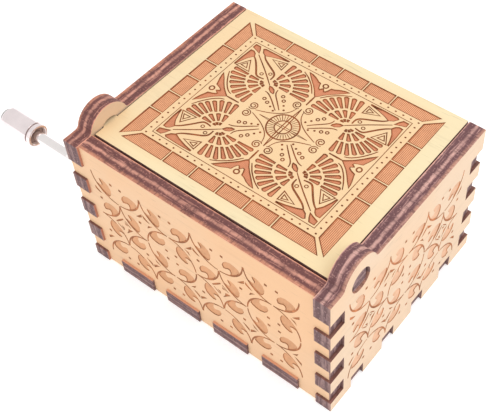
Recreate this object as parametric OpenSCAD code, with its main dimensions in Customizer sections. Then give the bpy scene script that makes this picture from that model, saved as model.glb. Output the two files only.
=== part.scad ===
// Hand-cranked music box in laser-cut plywood, with an 18-note comb movement inside.
// Millimetres. Origin at the centre of the underside, +Z up.
// -X is the crank side, +X the plain side, -Y the hinge side, +Y the opening side.

/* [Box] */
// Outside length between the faces of the two side walls, along X
box_l = 64; // [62:0.5:72]
// Outside depth over the ends of the side walls, along Y
box_d = 50.6; // [50:0.1:58]
// Height of the walls and of the closed lid
box_h = 37; // [36.5:0.1:40]
// Thickness of the plywood
ply = 3.7; // [3.5:0.1:3.8]
// How far the finger ends stand proud of the hinge and opening walls
proud = 0.5; // [0:0.1:0.8]
// How far the panel ends stop short of the plain wall's outer face
shy = 0.72; // [0:0.02:1]

/* [Finger joints] */
// Height of one finger in the upright corners
finger_h = 4.05; // [3.9:0.01:4.1]
// Height of the lowest finger in the upright corners
first_finger_h = 3.05; // [2.9:0.01:3.2]
// Width of a bottom tab along the long walls
long_tab_w = 9; // [7:0.1:10]
// Spacing of the bottom tabs along the long walls
long_tab_pitch = 12.9; // [12.5:0.1:13.5]
// Width of a bottom tab along the side walls
side_tab_w = 4.1; // [3:0.1:6]
// Spacing of the bottom tabs along the side walls
side_tab_pitch = 10.72; // [10:0.01:11]

/* [Lid hinge] */
// Distance from the hinge-side ends of the side walls to the hinge line
hinge_in = 8.94; // [8.9:0.01:9.2]
// Radius of the round ears that carry the lid pegs
ear_r = 4.93; // [4.8:0.01:5.2]
// Radius of the peg holes
peg_hole_r = 2.7; // [2.7:0.01:2.8]
// Gap between the lid and each side wall
lid_side_gap = 0.3; // [0.2:0.05:0.5]
// Length of the lid's tail behind the hinge line
lid_tail = 4.2; // [3.8:0.05:4.2]

/* [Crank] */
// Diameter of the bent crank rod
rod_d = 2.3; // [2:0.1:2.5]
// Place of the crank shaft along Y
shaft_y = -2.8; // [-3:0.1:-2.6]
// Height of the crank shaft
shaft_z = 22; // [21.8:0.1:22.5]
// Place of the handle along Y
handle_y = -21.1; // [-21.5:0.1:-19]
// Height of the handle
handle_z = 24; // [22:0.1:26]
// Centre-line radius of the bends in the rod
bend_r = 2.4; // [2:0.1:2.6]
// Distance from the crank wall to the centre of the crank arm
arm_out = 4; // [4:0.1:6]
// Diameter of the knob
knob_d = 5.1; // [4.8:0.1:6]
// Length of the knob
knob_l = 9.2; // [8:0.1:12]

/* [Movement] */
// Number of notes on the comb
notes = 18; // [12:1:18]
// Spacing of the comb teeth
note_pitch = 0.89; // [0.8:0.01:0.9]
// Radius of the pinned cylinder
drum_r = 6.5; // [6:0.1:6.5]
// Height of the pins on the cylinder
pin_h = 0.6; // [0.4:0.05:0.6]
// Teeth on the worm wheel
wheel_teeth = 24; // [24:1:24]
// Pitch radius of the worm wheel
wheel_r = 6.6; // [6.5:0.05:6.6]
// Pitch radius of the worm
worm_r = 2.4; // [2.4:0.05:2.5]
// Thickness of the bedplate
bed_t = 1.6; // [1.2:0.1:1.6]

/* [Hidden] */
$fn = 64;
eps = 0.01;

// Walls
half_l = box_l / 2;
half_d = box_d / 2;
wall_y = half_d - proud;           // outer faces of the hinge and opening walls
inner_x = half_l - ply;            // inner faces of the side walls
inner_y = wall_y - ply;            // inner faces of the hinge and opening walls
panel_end_x = half_l - shy;        // panel ends on the plain side
corner_fingers = 4;                // fingers of the long walls in each corner
bottom_tabs = 4;                   // tabs of the bottom panel on every side
lid_seat_gap = 0.1;

// Lid and hinge
hinge_y = -half_d + hinge_in;
hinge_z = box_h - ply / 2;
ear_y = hinge_y - 0.14;
ear_z = box_h - 0.9;
ear_fillet_r = 1;
peg_short = 0.35;                  // the pegs stop short of the walls' outer faces

// Movement
bed_z = ply + bed_t;               // top of the bedplate
drum_x = -15;
mesh_play = 0.1;
drum_z = shaft_z - wheel_r - worm_r - mesh_play;
tooth_m = 2 * wheel_r / wheel_teeth;
worm_lead = PI * tooth_m;
wheel_w = 3;
drum_y0 = 0.1;
drum_y1 = 18.9;
drum_wall = 0.8;
cap_t = 0.8;
arbor_r = 0.9;
running = 0.05;                    // radial clearance of a running fit
lug_t = 1.4;
far_lug_y = 19.4;
near_post_y = -7.3;
arbor_y0 = near_post_y - 0.4;
arbor_y1 = 20.95;
comb_w = notes * note_pitch;
comb_y0 = (drum_y0 + drum_y1 - comb_w) / 2 + 0.4;
comb_tip_x = drum_x + drum_r + pin_h + 0.2;
comb_end_x = 15;
comb_z = drum_z - 0.3;             // underside of the comb
tooth_t = 1;
heel_t = 2.4;
heel_x = comb_tip_x + 13.4;
slot_w = 0.25;
screw_head_r = 2.2;
comb_screw_r = 1.25;
comb_screw_x = 10;
comb_screw_dy = 5;                 // from the comb's middle
ledge_x0 = heel_x - 0.4;
bed_screw_r = 1.25;
bed_screws = [[10, comb_y0 + comb_w / 2], [1, -8.3]];
sink_r = 2.6;

// Worm bracket: an arch of bent strip over the worm
strip_t = 1.4;
strip_w = 7;
arch_x0 = drum_x - 9;
arch_x1 = drum_x + 9.6;
arch_top = shaft_z + worm_r + tooth_m + 0.7;
foot_l = 3.8;
bracket_screw_r = 0.8;

// Crank
arm_x = -half_l - arm_out;
rod_r = rod_d / 2;
arm_dy = handle_y - shaft_y;
arm_dz = handle_z - shaft_z;
arm_l = sqrt(arm_dy * arm_dy + arm_dz * arm_dz);
arm_turn = atan2(arm_dz, arm_dy);
knob_x1 = -half_l - 15.7;          // the knob's end nearest to the box
knob_x0 = knob_x1 - knob_l;
shaft_end_x = arch_x1 + 1.6;
worm_l = 6.4;

// Turns a flat shape drawn in Y and Z into a panel that starts at x.
module yz_panel(x, thick) {
    translate([x, 0, 0]) rotate([90, 0, 90]) linear_extrude(thick) children();
}

// Turns a flat shape drawn in X and Z into a panel that starts at y.
module xz_panel(y, thick) {
    translate([0, y + thick, 0]) rotate([90, 0, 0]) linear_extrude(thick) children();
}

// A round bar along X.
module bar_x(x0, x1, r) {
    translate([x0, 0, 0]) rotate([0, 90, 0]) cylinder(r = r, h = x1 - x0);
}

// A round bar along Y.
module bar_y(y0, y1, r) {
    translate([0, y0, 0]) rotate([-90, 0, 0]) cylinder(r = r, h = y1 - y0);
}

// Bottom of the nth long-wall finger in an upright corner.
function finger_z(n) = first_finger_h + 2 * finger_h * n;

// Start of the nth bottom tab in a row of the given width and pitch.
function tab_start(n, w, pitch) = (n - (bottom_tabs - 1) / 2) * pitch - w / 2;

// Openings or fingers in an upright corner, from a to b across the joint.
module corner_row(a, b) {
    for (n = [0:corner_fingers - 1])
        translate([a, finger_z(n)]) square([b - a, finger_h]);
}

// Openings for a row of bottom tabs.
module tab_row(w, pitch) {
    for (n = [0:bottom_tabs - 1])
        translate([tab_start(n, w, pitch), -1]) square([w, ply + 1]);
}

// Round ear with a small fillet where it rises from the wall's top edge.
module ear() {
    fillet_z = box_h + ear_fillet_r;
    reach = ear_r + ear_fillet_r;
    fillet_dy = sqrt(reach * reach - (fillet_z - ear_z) * (fillet_z - ear_z));
    touch_z = ear_z + (fillet_z - ear_z) * ear_r / reach;
    difference() {
        union() {
            translate([ear_y, ear_z]) circle(r = ear_r);
            translate([ear_y - fillet_dy, box_h - 1]) square([2 * fillet_dy, touch_z - box_h + 1]);
        }
        for (side = [-1, 1])
            translate([ear_y + side * fillet_dy, fillet_z]) circle(r = ear_fillet_r);
    }
}

module side_wall_outline() {
    difference() {
        union() {
            translate([-half_d, 0]) square([box_d, box_h]);
            ear();
        }
        corner_row(-half_d - 1, -inner_y);
        corner_row(inner_y, half_d + 1);
        translate([-0.47, 0]) tab_row(side_tab_w, side_tab_pitch);
        translate([hinge_y, hinge_z]) circle(r = peg_hole_r);
    }
}

module long_wall_outline(height) {
    difference() {
        union() {
            translate([-inner_x, 0]) square([2 * inner_x, height]);
            corner_row(-half_l, -inner_x + eps);
            corner_row(inner_x - eps, panel_end_x);
        }
        tab_row(long_tab_w, long_tab_pitch);
    }
}

module crank_wall() {
    hole_r = 2.4;
    color("burlywood") yz_panel(-half_l, ply) difference() {
        side_wall_outline();
        translate([shaft_y, shaft_z]) circle(r = hole_r);
    }
}

module plain_wall() {
    color("burlywood") yz_panel(inner_x, ply) side_wall_outline();
}

module hinge_wall() {
    color("burlywood") xz_panel(-wall_y, ply) long_wall_outline(box_h);
}

module opening_wall() {
    color("burlywood") xz_panel(inner_y, ply) long_wall_outline(box_h - ply - lid_seat_gap);
}

module bottom_panel() {
    color("burlywood") difference() {
        linear_extrude(ply) {
            translate([-inner_x, -inner_y]) square([2 * inner_x, 2 * inner_y]);
            for (n = [0:bottom_tabs - 1]) {
                translate([tab_start(n, long_tab_w, long_tab_pitch), -half_d])
                    square([long_tab_w, box_d]);
                translate([-half_l, tab_start(n, side_tab_w, side_tab_pitch) - 0.47])
                    square([half_l + panel_end_x, side_tab_w]);
            }
        }
        for (place = bed_screws) translate([place[0], place[1], 0]) {
            translate([0, 0, -1]) cylinder(r = bed_screw_r + 0.1, h = ply + 2);
            cylinder(r1 = sink_r, r2 = bed_screw_r, h = sink_r - bed_screw_r);
        }
    }
}

// The lid panel has a square peg on each side, cut from the same sheet.
module lid() {
    lid_half_x = inner_x - lid_side_gap;
    peg_end_x = half_l - peg_short;
    color("wheat") translate([0, 0, box_h - ply]) linear_extrude(ply) {
        translate([-lid_half_x, hinge_y - lid_tail])
            square([2 * lid_half_x, half_d - hinge_y + lid_tail]);
        translate([-peg_end_x, hinge_y - ply / 2]) square([2 * peg_end_x, ply]);
    }
}

// Cast bedplate with a ledge for the comb and a bearing lug for the cylinder.
module bedplate() {
    bed_x0 = -half_l + ply + 0.6;
    bed_x1 = comb_end_x + 3;
    bed_y0 = -12.3;
    bed_y1 = far_lug_y + lug_t;
    boss_r = 3.2;
    tap = 0.1;                     // threads bite this far into the casting
    color("silver") difference() {
        union() {
            translate([bed_x0, bed_y0, ply]) cube([bed_x1 - bed_x0, bed_y1 - bed_y0, bed_t]);
            translate([ledge_x0, comb_y0, bed_z - eps])
                cube([comb_end_x - ledge_x0, comb_w, comb_z - bed_z + eps]);
            xz_panel(far_lug_y, lug_t) {
                translate([drum_x, drum_z]) circle(r = 3);
                translate([drum_x - 3, bed_z - eps]) square([6, drum_z - bed_z]);
            }
            translate([bed_screws[1][0], bed_screws[1][1], bed_z - eps])
                cylinder(r = boss_r, h = 3);
        }
        translate([drum_x, 0, drum_z]) bar_y(far_lug_y - 1, bed_y1 + 1, arbor_r + running);
        for (place = bed_screws) translate([place[0], place[1], ply - 1])
            cylinder(r = bed_screw_r - tap, h = bed_t + 3.5);
        for (side = [-1, 1])
            translate([comb_screw_x, comb_y0 + comb_w / 2 + side * comb_screw_dy, comb_z - 3.5])
                cylinder(r = comb_screw_r - tap, h = 5);
        for (x = [arch_x0 - foot_l / 2, arch_x1 + foot_l / 2])
            translate([x, shaft_y, ply - 1])
                cylinder(r = bracket_screw_r - tap, h = bed_t + 2);
        translate([drum_x, near_post_y - 2.2, ply - 1])
            cylinder(r = bracket_screw_r - tap, h = bed_t + 2);
    }
}

// Countersunk screws that hold the bedplate from under the box.
module bedplate_screws() {
    color("silver") for (place = bed_screws) translate([place[0], place[1], 0]) difference() {
        union() {
            translate([0, 0, 0.15]) cylinder(r = bed_screw_r, h = ply + bed_t + 1.9);
            translate([0, 0, 0.15])
                cylinder(r1 = sink_r - 0.15, r2 = bed_screw_r, h = sink_r - 0.15 - bed_screw_r);
        }
        for (turn = [0, 90]) rotate([0, 0, turn])
            translate([-1.5, -0.25, 0]) cube([3, 0.5, 0.8]);
    }
}

// Free length of the nth tooth: the longest sound the lowest notes.
function tooth_l(n) = 12.6 - 4.4 * n / (notes - 1);

module comb() {
    color("lightsteelblue") difference() {
        union() {
            translate([comb_tip_x, comb_y0, comb_z]) cube([comb_end_x - comb_tip_x, comb_w, tooth_t]);
            translate([heel_x, comb_y0, comb_z]) cube([comb_end_x - heel_x, comb_w, heel_t]);
        }
        for (n = [1:notes - 1])
            translate([comb_tip_x - 1, comb_y0 + n * note_pitch - slot_w / 2, comb_z - 1])
                cube([tooth_l(n) + 1, slot_w, heel_t + 2]);
        for (side = [-1, 1])
            translate([comb_screw_x, comb_y0 + comb_w / 2 + side * comb_screw_dy, comb_z - 1])
                cylinder(r = comb_screw_r + 0.15, h = heel_t + 2);
    }
}

// A cheese-head screw that stands with its head's underside at z = 0.
module cheese_screw(head_r, head_h, shank_r, shank_l, slot) {
    difference() {
        union() {
            cylinder(r = head_r, h = head_h);
            translate([0, 0, -shank_l]) cylinder(r = shank_r, h = shank_l + eps);
        }
        translate([-head_r - 1, -slot / 2, head_h / 2]) cube([2 * head_r + 2, slot, head_h]);
    }
}

module comb_screws() {
    color("silver") for (side = [-1, 1])
        translate([comb_screw_x, comb_y0 + comb_w / 2 + side * comb_screw_dy, comb_z + heel_t])
            rotate([0, 0, 35 * side]) cheese_screw(screw_head_r, 1.4, comb_screw_r, heel_t + 3, 0.6);
}

// Lead weights under the tips of the lowest notes.
module bass_weights() {
    weighted = 7;
    color("dimgray") for (n = [0:weighted - 1])
        translate([comb_tip_x + 1.2, comb_y0 + n * note_pitch + 0.2, comb_z - 1.9 + 0.17 * n])
            cube([4.4 - 0.4 * n, note_pitch - 0.4, 1.9 - 0.17 * n]);
}

module cylinder_body() {
    color("goldenrod") translate([drum_x, 0, drum_z]) difference() {
        bar_y(drum_y0, drum_y1, drum_r);
        bar_y(drum_y0 - 1, drum_y1 + 1, drum_r - drum_wall);
    }
}

// Every row of pins has its own rhythm, stepped round the cylinder.
module cylinder_pins() {
    pin_r = 0.18;
    steps = 40;
    color("goldenrod") for (n = [0:notes - 1], k = [0:6])
        let (beat = (k * 6 + (n * 7 + k * k * 3) % 5 + n * 3) % steps)
            translate([drum_x, comb_y0 + (n + 0.5) * note_pitch, drum_z])
                rotate([0, beat * 360 / steps + 4.5, 0])
                    bar_x(drum_r - 0.3, drum_r + pin_h, pin_r);
}

module cylinder_caps() {
    color("goldenrod") translate([drum_x, 0, drum_z]) difference() {
        union() {
            bar_y(drum_y0, drum_y0 + cap_t, drum_r - drum_wall);
            bar_y(drum_y1 - cap_t, drum_y1, drum_r - drum_wall);
            bar_y(drum_y0 - 0.9, drum_y0 + eps, 2.4);
        }
        bar_y(drum_y0 - 2, drum_y1 + 2, arbor_r);
    }
}

module cylinder_arbor() {
    color("silver") translate([drum_x, 0, drum_z]) bar_y(arbor_y0, arbor_y1, arbor_r);
}

// Outline of the worm wheel: four points to a tooth, with a gap at the top, under the worm.
function wheel_outline() = [
    for (n = [0:wheel_teeth - 1], corner = [[-0.33, -1.2], [-0.11, 0.85], [0.11, 0.85], [0.33, -1.2]])
        let (turn = 90 + (n + 0.5 + corner[0]) * 360 / wheel_teeth, r = wheel_r + corner[1] * tooth_m)
            [r * cos(turn), r * sin(turn)]
];

module worm_wheel() {
    color("ivory") translate([drum_x, shaft_y - wheel_w / 2, drum_z])
        xz_panel(0, wheel_w) difference() {
            polygon(wheel_outline());
            circle(r = arbor_r);
        }
}

// Separate bearing for the wheel end of the cylinder's arbor.
module bearing_post() {
    foot_y = near_post_y - 4.4;
    color("silver") difference() {
        union() {
            xz_panel(near_post_y, lug_t) {
                translate([drum_x, drum_z]) circle(r = 3);
                translate([drum_x - 3, bed_z]) square([6, drum_z - bed_z]);
            }
            translate([drum_x - 3, foot_y, bed_z]) cube([6, near_post_y - foot_y + eps, lug_t]);
        }
        translate([drum_x, 0, drum_z]) bar_y(near_post_y - 1, near_post_y + lug_t + 1, arbor_r + running);
        translate([drum_x, near_post_y - 2.2, 0]) cylinder(r = bracket_screw_r + 0.1, h = bed_z + 5);
    }
}

module post_screw() {
    color("silver") translate([drum_x, near_post_y - 2.2, bed_z + lug_t])
        cheese_screw(1.5, 1, bracket_screw_r, lug_t + bed_t - 0.2, 0.4);
}

module worm_bracket() {
    arch_h = arch_top + strip_t - bed_z;
    color("gainsboro") difference() {
        translate([0, shaft_y - strip_w / 2, 0]) {
            for (x = [arch_x0, arch_x1 - strip_t])
                translate([x, 0, bed_z]) cube([strip_t, strip_w, arch_h]);
            translate([arch_x0, 0, arch_top]) cube([arch_x1 - arch_x0, strip_w, strip_t]);
            translate([arch_x0 - foot_l, 0, bed_z]) cube([foot_l + eps, strip_w, strip_t]);
            translate([arch_x1 - eps, 0, bed_z]) cube([foot_l + eps, strip_w, strip_t]);
        }
        translate([0, shaft_y, shaft_z]) bar_x(arch_x0 - 1, arch_x1 + 1, rod_r + running);
        for (x = [arch_x0 - foot_l / 2, arch_x1 + foot_l / 2])
            translate([x, shaft_y, 0]) cylinder(r = bracket_screw_r + 0.1, h = bed_z + 5);
    }
}

module bracket_screws() {
    color("silver") for (x = [arch_x0 - foot_l / 2, arch_x1 + foot_l / 2])
        translate([x, shaft_y, bed_z + strip_t])
            cheese_screw(1.5, 1, bracket_screw_r, strip_t + bed_t - 0.2, 0.4);
}

// A quarter bend of the rod, from the shaft's direction (-X) to the arm's direction (+Y).
module quarter_bend() {
    translate([0, bend_r, 0]) rotate([0, 0, 180]) rotate_extrude(angle = 90)
        translate([bend_r, 0]) circle(r = rod_r, $fn = 32);
}

// Shaft, arm and handle pin in one bent rod; the arm is drawn along +Y and then turned.
module crank_rod() {
    color("gainsboro") translate([0, shaft_y, shaft_z]) rotate([arm_turn, 0, 0]) {
        bar_x(arm_x + bend_r, shaft_end_x, rod_r);
        translate([arm_x + bend_r, 0, 0]) quarter_bend();
        translate([arm_x, 0, 0]) bar_y(bend_r, arm_l - bend_r, rod_r);
        translate([arm_x - bend_r, arm_l, 0]) rotate([0, 0, 180]) quarter_bend();
        translate([0, arm_l, 0]) bar_x(knob_x0 - 0.7, arm_x - bend_r, rod_r);
    }
}

// Radius of the worm thread at a fraction of one lead, 0.5 being the crest.
function thread_r(u) =
    let (rise = max(0, min(1, (0.33 - abs(u - 0.5)) / 0.22)))
        worm_r + tooth_m * (-1.2 + 2.05 * rise);

module worm() {
    points = 24;
    slices_per_turn = 12;
    turns = worm_l / worm_lead;
    mesh_turn = 180 * (turns - 1);      // brings a crest to the lowest point above the wheel
    color("goldenrod") translate([drum_x, shaft_y, shaft_z]) difference() {
        rotate([0, 90, 0]) rotate([0, 0, mesh_turn])
            linear_extrude(height = worm_l, center = true, twist = 360 * turns,
                           slices = ceil(turns * slices_per_turn), $fn = points)
                polygon([for (k = [0:points - 1])
                    let (turn = k * 360 / points) thread_r(k / points) * [cos(turn), sin(turn)]]);
        bar_x(-worm_l, worm_l, rod_r);
    }
}

// Spring clip that keeps the shaft from sliding out.
module shaft_clip() {
    color("dimgray") translate([0, shaft_y, shaft_z]) difference() {
        bar_x(arch_x1 + 0.3, arch_x1 + 0.9, 2.2);
        bar_x(arch_x1, arch_x1 + 2, rod_r);
        translate([arch_x1, -0.7, 0]) cube([2, 1.4, 3]);
    }
}

// Barrel knob, hollow at the end nearest to the box, with a groove behind its lip.
module knob() {
    knob_r = knob_d / 2;
    groove_x = knob_x1 - 1.15;
    round_r = 0.8;
    color("whitesmoke") translate([0, handle_y, handle_z]) rotate([0, 90, 0])
        rotate_extrude() difference() {
            union() {
                translate([0, knob_x0 + round_r]) square([knob_r, knob_l - round_r]);
                translate([0, knob_x0]) square([knob_r - round_r, round_r + eps]);
                translate([knob_r - round_r, knob_x0 + round_r]) circle(r = round_r, $fn = 32);
            }
            translate([-1, knob_x0 - 1]) square([rod_r + running + 1, knob_l + 2]);
            translate([0, knob_x1 - 2.6]) square([knob_r - 0.55, 3]);
            translate([knob_r - 0.16, groove_x]) square([1, 0.35]);
        }
}

// Washer on the rod's riveted end, which keeps the knob on.
module knob_washer() {
    color("gainsboro") translate([0, handle_y, handle_z]) difference() {
        bar_x(knob_x0 - 0.55, knob_x0 - 0.1, 1.8);
        bar_x(knob_x0 - 2, knob_x0 + 1, rod_r);
    }
}

crank_wall();
plain_wall();
hinge_wall();
opening_wall();
bottom_panel();
lid();
bedplate();
bedplate_screws();
comb();
comb_screws();
bass_weights();
cylinder_body();  // cylinder
cylinder_pins();
cylinder_caps();
cylinder_arbor();
worm_wheel();
bearing_post();
post_screw();
worm_bracket();
bracket_screws();
crank_rod();
worm();
shaft_clip();
knob();
knob_washer();
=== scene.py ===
import math

import bpy
from mathutils import Matrix, Vector


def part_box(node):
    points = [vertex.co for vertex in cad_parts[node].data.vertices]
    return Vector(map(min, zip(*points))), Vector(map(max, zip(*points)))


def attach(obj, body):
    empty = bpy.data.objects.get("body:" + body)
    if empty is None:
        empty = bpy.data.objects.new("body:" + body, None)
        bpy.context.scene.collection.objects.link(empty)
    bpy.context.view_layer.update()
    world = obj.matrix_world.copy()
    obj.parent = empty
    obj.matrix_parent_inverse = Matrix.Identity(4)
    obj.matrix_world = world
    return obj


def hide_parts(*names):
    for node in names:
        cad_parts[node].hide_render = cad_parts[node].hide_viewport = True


bl_info = {
    "name": "Plywood Hand-Crank Music Box",
    "version": (1, 0, 0),
    "blender": (4, 5, 0),
    "location": "View3D > Sidebar > Music Box",
    "description": "Engraved birch panels, chrome crank and comb movement of a small music box",
    "category": "Object",
}

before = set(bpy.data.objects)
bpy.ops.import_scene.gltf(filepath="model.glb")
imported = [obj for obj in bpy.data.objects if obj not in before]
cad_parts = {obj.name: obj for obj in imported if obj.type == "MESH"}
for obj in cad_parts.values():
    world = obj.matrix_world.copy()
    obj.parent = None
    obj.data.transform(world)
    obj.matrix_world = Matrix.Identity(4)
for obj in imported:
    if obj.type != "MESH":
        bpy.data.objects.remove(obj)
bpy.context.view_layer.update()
MM = 0.001
FINGER_TOP = 30 * MM  # fingers whose upper face lies below this have a red-brown one
MERGE = 0.001 * MM  # corners of CAD triangles nearer than this are one corner
SAME_PLANE = math.radians(0.5)  # CAD triangles that meet at less than this are one face
ABOVE_FACE = 0.5  # how far a cutter stands out of the face it engraves, in millimetres
# The material slots of a panel. The lid has no notches, so its bricks take that slot.
VENEER, EDGE, LINE, AREA, NOTCH, ENDS, INNER = range(7)
BRICK = NOTCH
BROAD, UPWARD = 0.98, 0.3  # a face whose normal passes these is a broad face, or faces up
BLUNTED = 0.55  # keeps a sharp corner of a widened outline from becoming a spike


def paint(red, green, blue):
    """A display colour of 0 to 255 a channel as the linear colour that shaders take."""
    return tuple(
        c / 255 / 12.92 if c <= 10 else ((c / 255 + 0.055) / 1.055) ** 2.4
        for c in (red, green, blue)
    )


# ---------------------------------------------------------------- sizes and colours


def size_value(name, text, default, low=0.0):
    return bpy.props.FloatProperty(name=name, description=text, default=default, min=low, unit="LENGTH")


def colour_value(name, text, default):
    return bpy.props.FloatVectorProperty(
        name=name, description=text, default=paint(*default), subtype="COLOR", size=3, min=0, max=1
    )


class MusicBoxSizes(bpy.types.PropertyGroup):
    line_width: size_value("Line width", "Width of the thin engraved lines", 0.27 * MM)
    outline: size_value("Outline", "Width of the dark burn round each engraved area", 0.25 * MM)
    line_depth: size_value("Line depth", "Depth of the thin lines and outlines", 0.1 * MM)
    area_depth: size_value("Area depth", "Depth of the engraved areas", 0.16 * MM)
    ornament_x: size_value("Ornament shift", "Place of the lid ornament's centre across", -0.05 * MM, -0.01)
    ornament_y: size_value("Ornament offset", "Place of the lid ornament's centre along", 2.4 * MM, -0.01)
    cast_round: size_value("Casting edge", "Rounding of the cast bedplate's edges", 0.22 * MM)
    metal_round: size_value("Metal edge", "Rounding of cut and pressed metal edges", 0.08 * MM)


class MusicBoxColours(bpy.types.PropertyGroup):
    lid_veneer: colour_value("Lid veneer", "Birch veneer of the lid", (240, 221, 179))
    long_veneer: colour_value("Long wall veneer", "Veneer of the hinge and opening walls", (229, 189, 150))
    side_veneer: colour_value("Side wall veneer", "Veneer of the crank and plain walls", (223, 195, 166))
    long_leaf: colour_value("Long wall leaf", "Floor of the leaves on the long walls", (216, 160, 116))
    side_leaf: colour_value("Side wall leaf", "Floor of the leaves on the side walls", (226, 180, 146))
    brick: colour_value("Engraved brick", "Floor of the bricks round the lid", (243, 177, 130))
    fan: colour_value("Engraved fan", "Floor of the fans, blades and crowns on the lid", (216, 140, 101))
    toast: colour_value("Toasted veneer", "Veneer browned by the heat of the cut", (222, 160, 126))
    burnt: colour_value("Burnt line", "Engraved lines of the lid and the sides of its cuts", (146, 80, 40))
    burnt_wall: colour_value("Burnt line of the walls", "Engraved lines of the walls", (170, 108, 68))
    ply_dark: colour_value("Dark ply", "Scorched cut edge, cross plies", (108, 66, 66))
    ply_light: colour_value("Light ply", "Scorched cut edge, long plies", (200, 148, 134))
    ply_pale: colour_value("Pale ply", "Outer veneer at the cut edge, least scorched", (190, 132, 110))
    notch: colour_value("Notch", "Upper faces of the fingers, red-brown from the beam", (128, 84, 74))


# ---------------------------------------------------------------- finishes


class Sock:
    """A socket that can be used in arithmetic; each operation adds its Math node."""

    def __init__(self, finish, socket):
        self.finish = finish
        self.socket = socket

    def _math(self, operation, first, second=0.5):
        return self.finish.add("ShaderNodeMath", {"operation": operation}, {0: first, 1: second})

    def __add__(self, other):
        return self._math("ADD", self, other)

    def __sub__(self, other):
        return self._math("SUBTRACT", self, other)

    def __mul__(self, other):
        return self._math("MULTIPLY", self, other)

    def __truediv__(self, other):
        return self._math("DIVIDE", self, other)

    def __gt__(self, other):
        return self._math("GREATER_THAN", self, other)

    def __lt__(self, other):
        return self._math("LESS_THAN", self, other)

    def __rsub__(self, other):
        return self._math("SUBTRACT", other, self)

    __radd__ = __add__
    __rmul__ = __mul__

    def __abs__(self):
        return self._math("ABSOLUTE", self)

    def band(self, low, high):
        """0 below low, 1 above high, smooth between."""
        node = self.finish.make(
            "ShaderNodeMapRange",
            {"interpolation_type": "SMOOTHSTEP"},
            {"Value": self, "From Min": low, "From Max": high},
        )
        return Sock(self.finish, node.outputs["Result"])


class Finish:
    """A material built on one Principled shader."""

    def __init__(self, name, metallic=0.0, roughness=0.5):
        self.material = bpy.data.materials.new(name)
        self.material.use_nodes = True
        self.tree = self.material.node_tree
        self.shader = self.tree.nodes["Principled BSDF"]
        self.shader.inputs["Metallic"].default_value = metallic
        self.shader.inputs["Roughness"].default_value = roughness
        self.place = self.add("ShaderNodeTexCoord", {}, {}, "Object")

    def make(self, kind, settings, inputs):
        """Adds a node, sets its settings first and then the values or links of its sockets."""
        node = self.tree.nodes.new(kind)
        for key, value in settings.items():
            if key == "stops":
                ramp = node.color_ramp.elements
                while len(ramp) < len(value):
                    ramp.new(0.5)
                for stop, (at, colour) in zip(ramp, value):
                    stop.position = at
                    stop.color = (*colour, 1.0)
            else:
                setattr(node, key, value)
        for key, value in inputs.items():
            if isinstance(value, Sock):
                self.tree.links.new(value.socket, node.inputs[key])
            else:
                if isinstance(value, tuple) and len(value) == 3 and node.inputs[key].type == "RGBA":
                    value = (*value, 1.0)
                node.inputs[key].default_value = value
        return node

    def add(self, kind, settings, inputs, output=0):
        return Sock(self, self.make(kind, settings, inputs).outputs[output])

    def vector(self, operation, first, second=(0.0, 0.0, 0.0)):
        """Vector arithmetic; LENGTH gives a number, which comes out of the node's second socket."""
        output = "Value" if operation == "LENGTH" else 0
        return self.add("ShaderNodeVectorMath", {"operation": operation}, {0: first, 1: second}, output)

    def axis(self, index):
        """The object coordinate along X, Y or Z, in metres."""
        return self.add("ShaderNodeSeparateXYZ", {}, {0: self.place}, index)

    def noise(self, scale, detail, where=None):
        inputs = {"Vector": where or self.place, "Scale": scale, "Detail": detail, "Roughness": 0.55}
        return self.add("ShaderNodeTexNoise", {}, inputs, "Fac")

    def streaks(self, scale, detail, shift=(0, 0, 0)):
        """Noise with its own scale along each axis, for marks that run one way."""
        where = self.add("ShaderNodeMapping", {}, {"Vector": self.place, "Scale": scale, "Location": shift})
        return self.noise(1.0, detail, where)

    def blend(self, amount, first, second):
        """Mixes two colours."""
        node = self.make("ShaderNodeMix", {"data_type": "RGBA"}, {"Factor": amount})
        for index, value in ((6, first), (7, second)):
            if isinstance(value, Sock):
                self.tree.links.new(value.socket, node.inputs[index])
            else:
                node.inputs[index].default_value = (*value, 1.0)
        return Sock(self, node.outputs[2])

    def ramp(self, value, stops):
        return self.add("ShaderNodeValToRGB", {"stops": stops}, {"Fac": value}, "Color")

    def bump(self, height, strength, distance):
        inputs = {"Height": height, "Strength": strength, "Distance": distance}
        self.wire("Normal", self.add("ShaderNodeBump", {}, inputs, "Normal"))

    def wire(self, name, value):
        self.tree.links.new(value.socket, self.shader.inputs[name])


def shade(colour, factor):
    """The colour made darker or lighter by one factor, or by a factor for each of red, green and blue."""
    factors = factor if isinstance(factor, tuple) else (factor,) * 3
    return tuple(min(1.0, c * k) for c, k in zip(colour, factors)) + tuple(colour[3:])


def running(axis, along, across):
    """The scale of marks that run along an axis: one number along it, the other across it."""
    return tuple(along if i == axis else across for i in range(3))


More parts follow.
